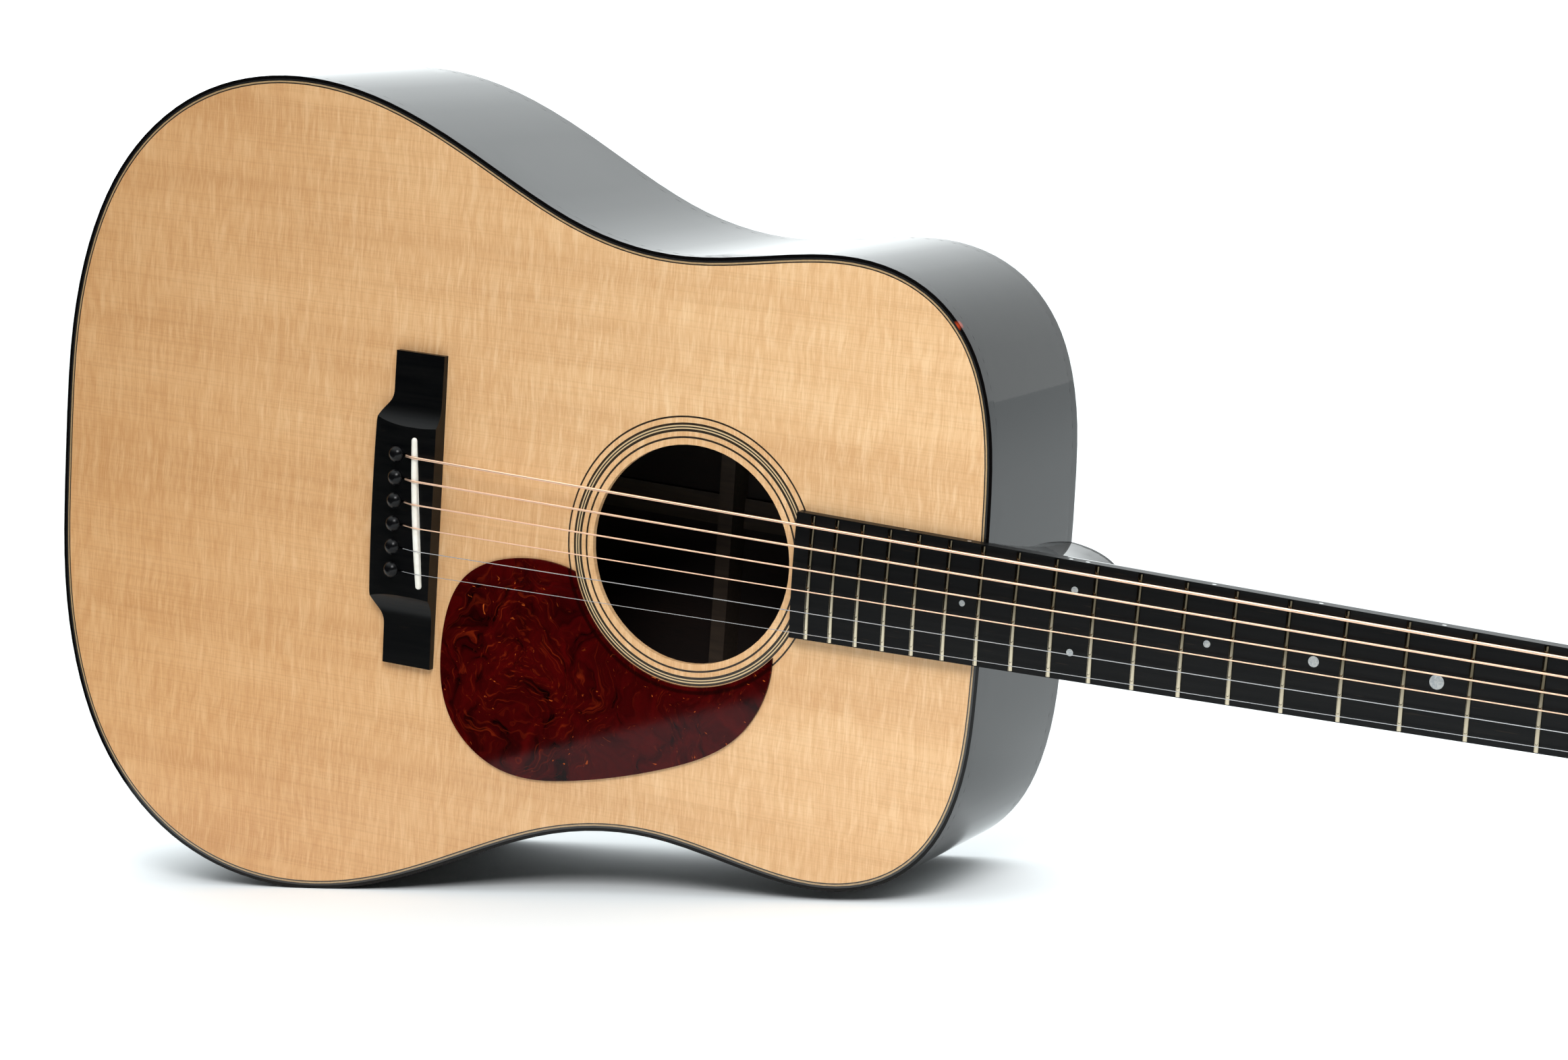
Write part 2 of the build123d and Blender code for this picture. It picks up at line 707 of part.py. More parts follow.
def wind_start(index):
    """Where a string first meets its post, in the head's frame, with its direction from the post's axis."""
    x, y, side = post_places()[index]
    seat = HEAD_PLANE.to_local_coords(nut_point(index))
    radius = POST_RADIUS + STRING_DIAMETERS[index] / 2 + WIND_GAP
    reach = math.hypot(x - seat.X, y - seat.Y)
    bearing = math.atan2(y - seat.Y, x - seat.X) - side * math.asin(radius / reach)
    run = math.sqrt(reach ** 2 - radius ** 2)
    touch = Vector(seat.X + run * math.cos(bearing), seat.Y + run * math.sin(bearing), STRING_WIND_TOP)
    return touch, touch - Vector(x, y, STRING_WIND_TOP)


def string(index):
    """Ball end, run over the saddle and the nut, and turns round the post."""
    radius = STRING_DIAMETERS[index] / 2
    foot = Vector(PIN_X + STRING_AHEAD_OF_PIN, pin_y(index), -TOP_THICK - PLATE_THICK - 2.0)
    bend = Vector(foot.X, foot.Y, BRIDGE_BLOCK_HEIGHT + 0.7)
    touch, outward = wind_start(index)
    landing = HEAD_PLANE.from_local_coords(touch)
    route = FilletPolyline(foot, bend, saddle_point(index), nut_point(index), landing, radius=[1.6, 3.0, 3.0])
    run = sweep(Plane(origin=foot, z_dir=(0, 0, 1)) * Circle(radius), path=route)
    ball = Pos(foot) * Sphere(2.0)
    x, y, side = post_places()[index]
    pitch = 2 * radius * 1.04
    coil_path = Helix(pitch, pitch * WIND_TURNS, outward.length, lefthand=side > 0)
    section = Plane(origin=coil_path @ 0, z_dir=coil_path % 0) * Circle(radius)
    coil = sweep(section, path=coil_path, is_frenet=True)
    frame = Plane(origin=(x, y, STRING_WIND_TOP), x_dir=outward, z_dir=(0, 0, -1))
    coil = on_head(frame.location * coil)
    return run + ball, coil


# ---------------------------------------------------------------- tuners
def worm_frame(x, y, side):
    """The worm's frame on the head: z runs outwards along its shaft, x points at the gear."""
    return Plane(origin=(x + WORM_OFFSET, y, GEAR_MIDDLE), x_dir=(-1, 0, 0), z_dir=(0, side, 0))


def gear():
    """A worm gear with straight teeth and a gap facing along x."""
    root = GEAR_RADIUS - 0.95
    tip = GEAR_RADIUS + 0.55
    half_root = 0.62
    half_tip = 0.3
    body = Cylinder(root, GEAR_THICK)
    for tooth in range(GEAR_TEETH):
        shape = Polyline((root - 0.5, -half_root), (tip, -half_tip), (tip, half_tip), (root - 0.5, half_root), close=True)
        solid = extrude(make_face(shape), amount=GEAR_THICK / 2, both=True)
        body += Rot(0, 0, 360 * (tooth + 0.5) / GEAR_TEETH) * solid
    return body


def string_post(index):
    """A turned post with its gear on its lower end."""
    x, y, side = post_places()[index]
    bottom = GEAR_TOP - GEAR_THICK
    post = disc(x, y, bottom, POST_TOP, POST_RADIUS)
    rim = disc(x, y, POST_TOP - 2.0, POST_TOP, POST_RADIUS + 0.5)
    screw = disc(x, y, bottom - 1.6, bottom, 3.2) - block(x - 4, x + 4, y - 0.5, y + 0.5, bottom - 2, bottom - 0.8)
    wheel = Pos(x, y, GEAR_MIDDLE) * gear()
    hole = Pos(x, y, POST_TOP - 5.0) * Rot(0, 90, 0) * Cylinder(0.9, 12)
    return on_head(post + rim + wheel + screw - hole)


def worm_thread():
    height = WORM_PITCH * WORM_TURNS
    inner = WORM_ROOT_RADIUS - 0.2
    path = Helix(WORM_PITCH, height, inner)
    outline = Polyline(
        (inner, -WORM_THREAD_ROOT / 2),
        (WORM_TIP_RADIUS, -WORM_THREAD_TIP / 2),
        (WORM_TIP_RADIUS, WORM_THREAD_TIP / 2),
        (inner, WORM_THREAD_ROOT / 2),
        close=True,
    )
    section = Plane.XZ * make_face(outline)
    return Pos(0, 0, -height / 2 - WORM_PITCH / 2) * sweep(section, path=path, is_frenet=True)


def tuner_button(index):
    """The worm, its shaft and the finger button on the shaft's end."""
    x, y, side = post_places()[index]
    shaft_end = BUTTON_NEAR + 4.0
    shaft = Pos(0, 0, (shaft_end - 10.5) / 2) * Cylinder(SHAFT_RADIUS, shaft_end + 10.5)
    core = Cylinder(WORM_ROOT_RADIUS, 2 * LUG_OFFSET - 3.4)
    worm = shaft + core + worm_thread()
    collar = Pos(0, 0, BUTTON_NEAR - 1.0) * Cylinder(3.0, 3.0)
    oval = extrude(Ellipse(9.0, 3.6), amount=BUTTON_LENGTH)
    oval = fillet(oval.edges(), 1.4)
    knob = collar + Pos(0, 0, BUTTON_NEAR) * Rot(0, 0, 90) * oval
    frame = worm_frame(x, y, side)
    return on_head(frame.location * (worm + knob))


def base_plates():
    """Six plates on the back of the head, each with two lugs that carry a worm shaft."""
    plates = []
    for x, y, side in post_places():
        plate = block(x - 9, x + 23, y - 9.5, y + 9.5, -HEAD_THICK - BASE_THICK, -HEAD_THICK)
        for direction in (1, -1):
            lug_y = y + direction * LUG_OFFSET
            lug = block(x + 5, x + 11, lug_y - 1.3, lug_y + 1.3, GEAR_MIDDLE - 3, -HEAD_THICK - BASE_THICK)
            bore = Pos(x + WORM_OFFSET, lug_y, GEAR_MIDDLE) * Rot(90, 0, 0) * Cylinder(SHAFT_RADIUS + RUNNING_GAP, 10)
            plate = plate + lug - bore
        plate -= disc(x, y, -30, 0, POST_RADIUS + RUNNING_GAP)
        for screw_x, screw_y in screw_places(x, y):
            plate -= disc(screw_x, screw_y, -30, 0, SCREW_RADIUS)
        plates.append(on_head(plate))
    return plates


def screw_places(x, y):
    return [(x - 6.5, y - 6.5), (x + 19, y)]


def tuner_screws():
    """Two round-headed wood screws to each plate."""
    screws = []
    for x, y, side in post_places():
        for screw_x, screw_y in screw_places(x, y):
            under = -HEAD_THICK - BASE_THICK
            shank = disc(screw_x, screw_y, under, SCREW_TIP, SCREW_RADIUS)
            head = disc(screw_x, screw_y, under - 1.3, under, 2.3)
            head -= block(screw_x - 3, screw_x + 3, screw_y - 0.3, screw_y + 0.3, under - 2, under - 0.7)
            screws.append(on_head(shank + head))
    return screws


def tuner_bushings():
    return [
        on_head(ring(x, y, 0, 1.8, POST_RADIUS + RUNNING_GAP, 5.4) + ring(x, y, -7, 0, POST_RADIUS + RUNNING_GAP, 4.0))
        for x, y, side in post_places()
    ]


# ---------------------------------------------------------------- nodes
def make_nodes():
    """Every node's solids, in the lengthwise frame."""
    board = soundboard()
    rear = back()
    rim = sides()
    nodes = {
        "soundboard_bass_half": [bass_half(board)],
        "soundboard_treble_half": [treble_half(board)],
        "back_bass_half": [bass_half(rear)],
        "back_treble_half": [treble_half(rear)],
        "side_bass": [bass_half(rim)],
        "side_treble": [treble_half(rim)],
        "top_binding": [top_binding()],
        "top_purfling": top_purfling(),
        "back_binding": [back_binding()],
        "neck_block": [neck_block()],
        "tail_block": [tail_block()],
        "linings": linings(),
        "x_brace": x_brace(),
        "bridge_plate": [bridge_plate()],
        "tone_bars": tone_bars(),
        "finger_braces": finger_braces(),
        "upper_braces": upper_braces(),
        "back_braces": [back_brace(*row) for row in BACK_BRACES],
        "back_centre_strip": [back_centre_strip()],
        "rosette": rosette(),
        "pickguard": [pickguard()],
        "bridge": [bridge()],
        "saddle": [saddle()],
        "end_pin": [end_pin()],
        "neck": [neck()],
        "heel_cap": [heel_cap()],
        "head_plate": [head_plate()],
        "truss_rod": [truss_rod()],
        "truss_rod_nut": [truss_rod_nut()],
        "fingerboard": [fingerboard()],
        "frets": [fret(number) for number in range(1, FRET_COUNT + 1)],
        "position_dots": position_dots(),
        "nut": [nut()],
        "tuner_base_plates": base_plates(),
        "tuner_screws": tuner_screws(),
        "tuner_bushings": tuner_bushings(),
    }
    for index in range(6):
        number = 6 - index
        nodes[f"string_{number}"] = string(index)
        nodes[f"bridge_pin_{number}"] = [bridge_pin(index)]
        nodes[f"string_post_{number}"] = [string_post(index)]
        nodes[f"tuner_button_{number}"] = [tuner_button(index)]
    return nodes


def solids_of(shapes):
    return [solid for shape in shapes for solid in shape.solids()]


def stance(angle):
    """Stands the lengthwise frame on its treble side, with the head lowered by an angle."""
    return Rot(0, angle, 0) * Rot(90, 0, 0)


def rest_angle(outline, buttons):
    """The angle at which the lower bout and the lowest treble button are level."""
    low = 0.0
    high = 20.0
    for step in range(24):
        middle = (low + high) / 2
        body_low = (stance(middle) * outline).bounding_box().min.Z
        button_low = min((stance(middle) * button).bounding_box().min.Z for button in buttons)
        if button_low > body_low:
            low = middle
        else:
            high = middle
    return (low + high) / 2


nodes = {name: Compound(children=solids_of(shapes)) for name, shapes in make_nodes().items()}
REST_ANGLE = rest_angle(plan(0), [nodes[f"tuner_button_{number}"] for number in (1, 2, 3)])
upright = stance(REST_ANGLE)
extent = Compound(children=[upright * node for node in nodes.values()]).bounding_box()
TO_ORIGIN = Pos(-extent.center().X, -extent.center().Y, -extent.min.Z)
PLACEMENT = TO_ORIGIN * upright

os.makedirs("parts", exist_ok=True)
for name, node in nodes.items():
    export_step(PLACEMENT * node, f"parts/{name}.step")
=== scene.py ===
import json
import math

import bmesh
import bpy
from mathutils import Matrix, Vector


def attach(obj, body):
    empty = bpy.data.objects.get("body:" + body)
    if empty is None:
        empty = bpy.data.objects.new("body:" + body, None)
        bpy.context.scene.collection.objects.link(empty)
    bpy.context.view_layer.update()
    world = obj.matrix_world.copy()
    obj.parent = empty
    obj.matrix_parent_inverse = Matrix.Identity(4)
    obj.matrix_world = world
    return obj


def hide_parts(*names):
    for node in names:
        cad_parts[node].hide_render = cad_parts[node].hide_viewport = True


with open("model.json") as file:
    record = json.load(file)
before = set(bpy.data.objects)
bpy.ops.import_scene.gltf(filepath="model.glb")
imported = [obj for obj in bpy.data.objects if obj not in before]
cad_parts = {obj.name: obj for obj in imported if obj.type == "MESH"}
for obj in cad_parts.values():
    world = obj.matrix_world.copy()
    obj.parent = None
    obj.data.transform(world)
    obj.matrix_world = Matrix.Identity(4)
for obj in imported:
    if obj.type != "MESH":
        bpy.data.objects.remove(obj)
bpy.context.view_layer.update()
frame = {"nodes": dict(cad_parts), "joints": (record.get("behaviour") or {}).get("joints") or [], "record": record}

# A steel-string guitar on its treble side. The guitar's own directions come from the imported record:
# ALONG runs up the centreline to the head, ACROSS runs to the bass side, OUT leaves the soundboard.
RECORD = frame["record"]
JOINTS = {joint["name"]: joint for joint in frame["joints"]}
MOUNTS = {mount["name"]: mount for mount in RECORD["mounts"]}
ALONG = Vector(JOINTS["truss_rod_nut_turn"]["axis"]).normalized()
OUT = Vector(JOINTS["bridge_pin_1_pull"]["axis"]).normalized()
ACROSS = OUT.cross(ALONG)
STRAP_BUTTON = Vector(MOUNTS["strap_button"]["pos_m"])
STRAP_BUTTON_IN_GUITAR = Vector((-0.0018, 0.0, -0.062))
TAIL = STRAP_BUTTON - Matrix((ALONG, ACROSS, OUT)).transposed() @ STRAP_BUTTON_IN_GUITAR
TO_ROW = Matrix.Translation(TAIL) @ Matrix((ALONG, ACROSS, OUT)).transposed().to_4x4()

HOLE_ALONG = 0.3594
SIDE_CENTRE_ALONG = 0.300
GUARD_EYE = (0.2735, -0.0682)
BINDING_FLECK = (0.4846, 0.1216, -0.001)


def to_row(along, across, out):
    """A point given in the guitar's own directions, in metres."""
    return TO_ROW @ Vector((along, across, out))


# ------------------------------------------------------------------ node helpers
class Tree:
    """A material's node tree with short calls for what is used often."""

    def __init__(self, name):
        self.material = bpy.data.materials.new(name)
        self.material.use_nodes = True
        self.nodes = self.material.node_tree.nodes
        self.links = self.material.node_tree.links
        self.shader = self.nodes["Principled BSDF"]
        self.output = self.nodes["Material Output"]

    def add(self, kind, inputs=None, **settings):
        node = self.nodes.new(kind)
        for name, value in settings.items():
            setattr(node, name, value)
        for key, value in (inputs or {}).items():
            self.put(node.inputs[key], value)
        return node

    def put(self, socket, value):
        if isinstance(value, bpy.types.NodeSocket):
            self.links.new(value, socket)
        else:
            socket.default_value = value

    def set(self, **inputs):
        """Sets the shader's sockets, with _ for a space in a socket's name."""
        for name, value in inputs.items():
            self.put(self.shader.inputs[name.replace("_", " ")], value)

    def math(self, operation, first, second=0.0):
        return self.add("ShaderNodeMath", {0: first, 1: second}, operation=operation).outputs[0]

    def vector(self, operation, first, second):
        """A vector sum, difference or product."""
        return self.add("ShaderNodeVectorMath", {0: first, 1: second}, operation=operation).outputs[0]

    def number(self, operation, first, second):
        """The dot product or distance of two vectors."""
        node = self.add("ShaderNodeVectorMath", {0: first, 1: second}, operation=operation)
        return node.outputs["Value"]

    def length(self, first, second):
        """The length of a flat vector with these two sides."""
        squares = self.math("ADD", self.math("MULTIPLY", first, first), self.math("MULTIPLY", second, second))
        return self.math("SQRT", squares)

    def guitar(self):
        """The point in the guitar's own directions."""
        coordinates = self.add("ShaderNodeTexCoord").outputs["Object"]
        mapping = self.add("ShaderNodeMapping", {"Vector": coordinates}, vector_type="TEXTURE")
        mapping.inputs["Location"].default_value = TO_ROW.to_translation()
        mapping.inputs["Rotation"].default_value = TO_ROW.to_euler()
        return mapping.outputs[0]

    def scaled(self, vector, along, across, out):
        return self.add("ShaderNodeMapping", {"Vector": vector, "Scale": (along, across, out)}).outputs[0]

    def noise(self, vector, scale=1.0, detail=2.0, roughness=0.5, distortion=0.0):
        inputs = {"Vector": vector, "Scale": scale, "Detail": detail}
        inputs.update({"Roughness": roughness, "Distortion": distortion})
        return self.add("ShaderNodeTexNoise", inputs).outputs["Fac"]

    def ramp(self, factor, stops, interpolation="LINEAR"):
        """Colours by factor; each stop is a place and a colour or a grey."""
        node = self.add("ShaderNodeValToRGB", {"Fac": factor})
        node.color_ramp.interpolation = interpolation
        elements = node.color_ramp.elements
        while len(elements) < len(stops):
            elements.new(0.5)
        for element, (place, colour) in zip(elements, stops):
            element.position = place
            element.color = (*colour, 1.0) if isinstance(colour, tuple) else (colour, colour, colour, 1.0)
        return node.outputs["Color"]

    def mix(self, factor, first, second, blend="MIX"):
        node = self.add("ShaderNodeMix", data_type="RGBA", blend_type=blend)
        self.put(node.inputs["Factor"], factor)
        self.put(node.inputs["A"], first)
        self.put(node.inputs["B"], second)
        return node.outputs["Result"]

    def bump(self, height, strength, distance):
        node = self.add("ShaderNodeBump", {"Height": height, "Strength": strength, "Distance": distance})
        self.links.new(node.outputs[0], self.shader.inputs["Normal"])

    def parts(self, vector):
        return self.add("ShaderNodeSeparateXYZ", {"Vector": vector}).outputs


def grey(value):
    return (value, value, value, 1.0)


# ------------------------------------------------------------------ materials
def spruce_top():
    """Book-matched spruce under lacquer: cross silk over faint straight grain, with painted shade that makes it
    darker and oranger towards the tail and the treble side.
    """
    tree = Tree("spruce_top")
    point = tree.guitar()
    axes = tree.parts(point)
    across = tree.math("ABSOLUTE", axes[1])
    wander = tree.noise(tree.scaled(point, 4, 30, 1), 1.0, 2.0)
    along = tree.math("ADD", axes[0], tree.math("MULTIPLY", wander, 0.004))
    flat = tree.add("ShaderNodeCombineXYZ", {"X": along, "Y": across}).outputs[0]
    silk = tree.noise(tree.scaled(flat, 1500, 95, 1), 1.0, 3.0, 0.65)
    waves = tree.noise(tree.scaled(flat, 330, 40, 1), 1.0, 2.0, 0.6, 0.5)
    lines = tree.noise(tree.scaled(flat, 9, 1100, 1), 1.0, 2.0, 0.5)
    bands = tree.noise(tree.scaled(flat, 2.6, 30, 1), 1.0, 3.0, 0.55)
    clouds = tree.noise(tree.scaled(flat, 11, 9, 1), 1.0, 2.0)
    base = tree.ramp(bands, [
        (0.30, (0.62, 0.345, 0.155)), (0.50, (0.73, 0.44, 0.215)), (0.70, (0.79, 0.50, 0.26)),
    ])
    warmed = tree.mix(tree.ramp(clouds, [(0.35, 0.0), (0.7, 0.25)]), base, (0.82, 0.54, 0.29, 1.0))
    grain = tree.mix(tree.ramp(lines, [(0.36, 0.22), (0.52, 0.0)]), warmed, (0.50, 0.26, 0.11, 1.0))
    pale = tree.mix(tree.ramp(silk, [(0.46, 0.0), (0.74, 0.42)]), grain, (0.93, 0.68, 0.41, 1.0))
    dark = tree.mix(tree.ramp(silk, [(0.26, 0.34), (0.46, 0.0)]), pale, (0.55, 0.27, 0.11, 1.0))
    waved = tree.mix(tree.ramp(waves, [(0.30, 0.34), (0.50, 0.0)]), dark, (0.60, 0.32, 0.14, 1.0))
    lit = tree.mix(tree.ramp(waves, [(0.52, 0.0), (0.72, 0.30)]), waved, (0.95, 0.70, 0.43, 1.0))
    # Painted shade: the top's colour is multiplied darker and oranger towards the tail and the treble side, where
    # the lamp's light falls off.
    treble = tree.math("MULTIPLY", band(tree, axes[1], 0.05, -0.2), 0.35)
    painted_shade_weight = tree.math("ADD", band(tree, axes[0], 0.34, 0.0), treble)
    painted_shade_top = tree.mix(painted_shade_weight, lit, (0.90, 0.79, 0.67, 1.0), "MULTIPLY")
    tree.set(Base_Color=painted_shade_top, Roughness=0.42, Specular_IOR_Level=0.35)
    tree.set(Coat_Weight=0.25, Coat_Roughness=0.22)
    tree.bump(tree.math("ADD", lines, silk), 0.12, 0.0002)
    return tree.material


def lacquered(tree, point, colour, roughness=0.2):
    """Dark pore-filled wood under lacquer."""
    pores = tree.noise(tree.scaled(point, 180, 2600, 2600), 1.0, 2.0, 0.6)
    pits = tree.ramp(pores, [(0.28, 1.0), (0.36, 0.0)])
    tone = tree.noise(tree.scaled(point, 8, 120, 120), 1.0, 3.0)
    lighter = (colour[0] * 1.9, colour[1] * 1.7, colour[2] * 1.6, 1.0)
    shade = tree.mix(tree.ramp(tone, [(0.35, 0.0), (0.7, 0.5)]), colour, lighter)
    tree.set(Base_Color=tree.mix(pits, shade, (0.03, 0.029, 0.028, 1.0)), Roughness=roughness)
    tree.set(Specular_IOR_Level=0.0, Coat_Weight=1.0, Coat_Roughness=0.05, Coat_IOR=1.28)
    tree.bump(tree.math("MULTIPLY", pits, -1.0), 0.08, 0.0001)


def dark_wood(name="dark_wood"):
    """Near-black stained wood with a gloss lacquer."""
    tree = Tree(name)
    lacquered(tree, tree.guitar(), (0.005, 0.005, 0.005, 1.0))
    return tree.material


def raw_mahogany(tree, point):
    """Bare reddish wood as a base colour."""
    pores = tree.noise(tree.scaled(point, 90, 1500, 1500), 1.0, 2.0)
    bands = tree.noise(tree.scaled(point, 5, 60, 60), 1.0, 3.0)
    base = tree.ramp(bands, [(0.3, (0.008, 0.0035, 0.0025)), (0.7, (0.019, 0.008, 0.005))])
    return tree.mix(tree.ramp(pores, [(0.34, 0.7), (0.44, 0.0)]), base, (0.006, 0.003, 0.002, 1.0))


def shell_wood(name, inner_face):
    """Lacquered outside and bare mahogany inside. inner_face makes a factor that is 1 on the inside."""
    tree = Tree(name)
    point = tree.guitar()
    lacquered(tree, point, (0.005, 0.005, 0.005, 1.0))
    inner = {"Base Color": raw_mahogany(tree, point), "Roughness": 0.7}
    bare = tree.add("ShaderNodeBsdfPrincipled", inner)
    mixed = tree.add("ShaderNodeMixShader", {0: inner_face(tree)})
    tree.links.new(tree.shader.outputs[0], mixed.inputs[1])
    tree.links.new(bare.outputs[0], mixed.inputs[2])
    tree.links.new(mixed.outputs[0], tree.output.inputs["Surface"])
    return tree.material


def surface_normal(tree):
    return tree.add("ShaderNodeTexCoord").outputs["Normal"]


def faces_out(tree):
    """1 where the surface faces the way the soundboard does, as the back's inner face."""
    dot = tree.number("DOT_PRODUCT", surface_normal(tree), OUT)
    return tree.math("GREATER_THAN", dot, 0.5)


def faces_in(tree):
    """1 where the surface faces the body's middle, as the sides' inner face."""
    middle = to_row(SIDE_CENTRE_ALONG, 0, 0)
    away = tree.vector("SUBTRACT", tree.add("ShaderNodeTexCoord").outputs["Object"], middle)
    flat = tree.vector("MULTIPLY", away, (1, 0, 1))
    dot = tree.number("DOT_PRODUCT", surface_normal(tree), flat)
    return tree.math("LESS_THAN", dot, 0.0)


def inner_wood(name, colour_low, colour_high):
    """Unfinished inner timber."""
    tree = Tree(name)
    point = tree.guitar()
    grain = tree.noise(tree.scaled(point, 30, 500, 500), 1.0, 3.0)
    bands = tree.noise(tree.scaled(point, 6, 60, 60), 1.0, 2.0)
    streaked = tree.ramp(grain, [(0.35, colour_low), (0.65, colour_high)])
    colour = tree.mix(tree.math("MULTIPLY", bands, 0.5), streaked, (*colour_low, 1.0))
    tree.set(Base_Color=colour, Roughness=0.75)
    tree.bump(grain, 0.2, 0.0002)
    return tree.material


def ebony(name="ebony", roughness=0.32, brown=0.10):
    """Oiled ebony: almost black, with fine pores and faint brown streaks along the grain."""
    tree = Tree(name)
    point = tree.guitar()
    streaks = tree.noise(tree.scaled(point, 16, 420, 420), 1.0, 3.0, 0.6)
    pores = tree.noise(tree.scaled(point, 110, 2200, 2200), 1.0, 2.0, 0.6)
    dashes = tree.noise(tree.scaled(point, 60, 900, 900), 1.0, 1.0)
    base = tree.ramp(streaks, [(0.35, (0.0010, 0.0012, 0.0015)), (0.75, (0.0038, 0.0038, 0.0038))])
    marked = tree.mix(tree.ramp(dashes, [(0.70, 0.0), (0.78, brown)]), base, (0.09, 0.06, 0.035, 1.0))
    pitted = tree.ramp(pores, [(0.30, 0.8), (0.38, 0.0)])
    tree.set(Base_Color=tree.mix(pitted, marked, grey(0.002)))
    tree.set(Roughness=roughness, Specular_IOR_Level=0.16)
    tree.bump(pores, 0.15, 0.0001)
    return tree.material


def tortoise():
    """Polished deep red sheet: orange curls wound round one eye, dark clouds, and the ring under it."""
    tree = Tree("tortoise")
    point = tree.guitar()
    axes = tree.parts(point)
    warp = tree.add("ShaderNodeTexNoise", {"Vector": point, "Scale": 30.0, "Detail": 3.0})
    shift = tree.vector("SUBTRACT", warp.outputs["Color"], (0.5, 0.5, 0.5))
    moved = tree.vector("ADD", point, tree.vector("MULTIPLY", shift, (0.045, 0.045, 0.0)))
    swirl = tree.noise(tree.scaled(moved, 430, 150, 1), 1.0, 3.0, 0.62, 1.0)
    curls = tree.ramp(swirl, [(0.60, 0.0), (0.72, 0.55)])
    where = tree.noise(tree.scaled(point, 26, 26, 1), 1.0, 2.0)
    along = tree.math("SUBTRACT", tree.parts(moved)[0], GUARD_EYE[0])
    across = tree.math("SUBTRACT", tree.parts(moved)[1], GUARD_EYE[1])
    reach = tree.length(along, across)
    angle = tree.math("ARCTAN2", across, along)
    polar = {"X": tree.math("MULTIPLY", reach, 520.0), "Y": tree.math("MULTIPLY", angle, 2.2)}
    wound = tree.add("ShaderNodeCombineXYZ", polar)
    rings = tree.ramp(tree.noise(wound.outputs[0], 1.0, 3.0, 0.6, 0.4), [(0.56, 0.0), (0.72, 0.6)])
    near = tree.ramp(band(tree, reach, 0.0, 0.06), [(0.0, 1.0), (0.7, 0.75), (1.0, 0.0)])
    loose = tree.math("MULTIPLY", curls, tree.ramp(where, [(0.38, 0.1), (0.62, 1.0)]))
    veins = tree.mix(near, loose, rings)
    dark = tree.noise(tree.scaled(moved, 75, 60, 1), 1.0, 3.0, 0.6, 1.0)
    base = tree.ramp(dark, [
        (0.30, (0.004, 0.0002, 0.0003)), (0.42, (0.028, 0.0006, 0.0008)), (0.7, (0.058, 0.0012, 0.0012)),
    ])
    red = tree.mix(veins, base, (0.21, 0.020, 0.004, 1.0))
    flecks = tree.noise(tree.scaled(moved, 330, 380, 1), 1.0, 2.0, 0.5, 0.5)
    bright = tree.ramp(flecks, [(0.69, 0.0), (0.76, 1.0)])
    spots = tree.math("MULTIPLY", bright, tree.ramp(where, [(0.40, 0.15), (0.6, 1.0)]))
    spotted = tree.mix(spots, red, (0.70, 0.13, 0.02, 1.0))
    over_ring = band(tree, hole_radius(tree, axes), 0.0632, 0.0658)
    ring = tree.ramp(over_ring, [(0.0, 0.0), (0.3, 0.8), (0.7, 0.8), (1.0, 0.0)])
    tree.set(Base_Color=tree.mix(ring, spotted, (0.008, 0.0005, 0.0005, 1.0)))
    tree.set(Roughness=0.06, Specular_IOR_Level=0.12)
    return tree.material


def hole_radius(tree, axes):
    """Distance from the soundhole's centre."""
    return tree.length(tree.math("SUBTRACT", axes[0], HOLE_ALONG), axes[1])


def band(tree, value, low, high):
    """0 at low to 1 at high, held outside."""
    node = tree.add("ShaderNodeMapRange", {"Value": value, "From Min": low, "From Max": high})
    return node.outputs["Result"]


def rosette_rings():
    """Thin black and white rings by distance from the soundhole's centre."""
    tree = Tree("rosette_rings")
    axes = tree.parts(tree.guitar())
    start = 0.0535
    end = 0.0655
    factor = band(tree, hole_radius(tree, axes), start, end)
    white = (0.62, 0.45, 0.25)
    black = (0.005, 0.005, 0.004)
    brown = (0.06, 0.034, 0.016)
    edges = [
        (0.0, black), (54.65, brown), (54.85, black), (55.3, white),
        (57.4, black), (57.85, brown), (58.05, black), (58.55, white), (59.15, black), (59.75, white),
        (60.4, black), (60.85, brown), (61.05, black), (61.6, white),
        (63.5, black), (64.2, brown), (64.35, black),
    ]
    stops = [(max(0.0, (edge / 1000 - start) / (end - start)), colour) for edge, colour in edges]
    tree.set(Base_Color=tree.ramp(factor, stops, "CONSTANT"), Roughness=0.3)
    tree.set(Coat_Weight=0.4, Coat_Roughness=0.15)
    return tree.material


def line_wood(name, colour):
    """A purfling line."""
    tree = Tree(name)
    grain = tree.noise(tree.guitar(), 900.0, 2.0)
    low = tuple(channel * 0.8 for channel in colour)
    tree.set(Base_Color=tree.ramp(grain, [(0.3, low), (0.7, colour)]), Roughness=0.3)
    tree.set(Coat_Weight=0.5, Coat_Roughness=0.15)
    return tree.material


def binding():
    """Dark tortoise binding with rare orange flecks and one plain one on the bass shoulder."""
    tree = Tree("binding")
    point = tree.guitar()
    fleck = tree.noise(point, 55.0, 2.0, 0.5)
    dark = tree.ramp(fleck, [(0.76, (0.003, 0.0025, 0.0025)), (0.80, (0.55, 0.09, 0.015))])
    distance = tree.number("DISTANCE", point, BINDING_FLECK)
    plain = tree.ramp(band(tree, distance, 0.001, 0.0028), [(0.0, 1.0), (1.0, 0.0)])
    tree.set(Base_Color=tree.mix(plain, dark, (0.45, 0.05, 0.015, 1.0)), Roughness=0.2)
    tree.set(Specular_IOR_Level=0.0, Coat_Weight=1.0, Coat_Roughness=0.05, Coat_IOR=1.28)
    return tree.material


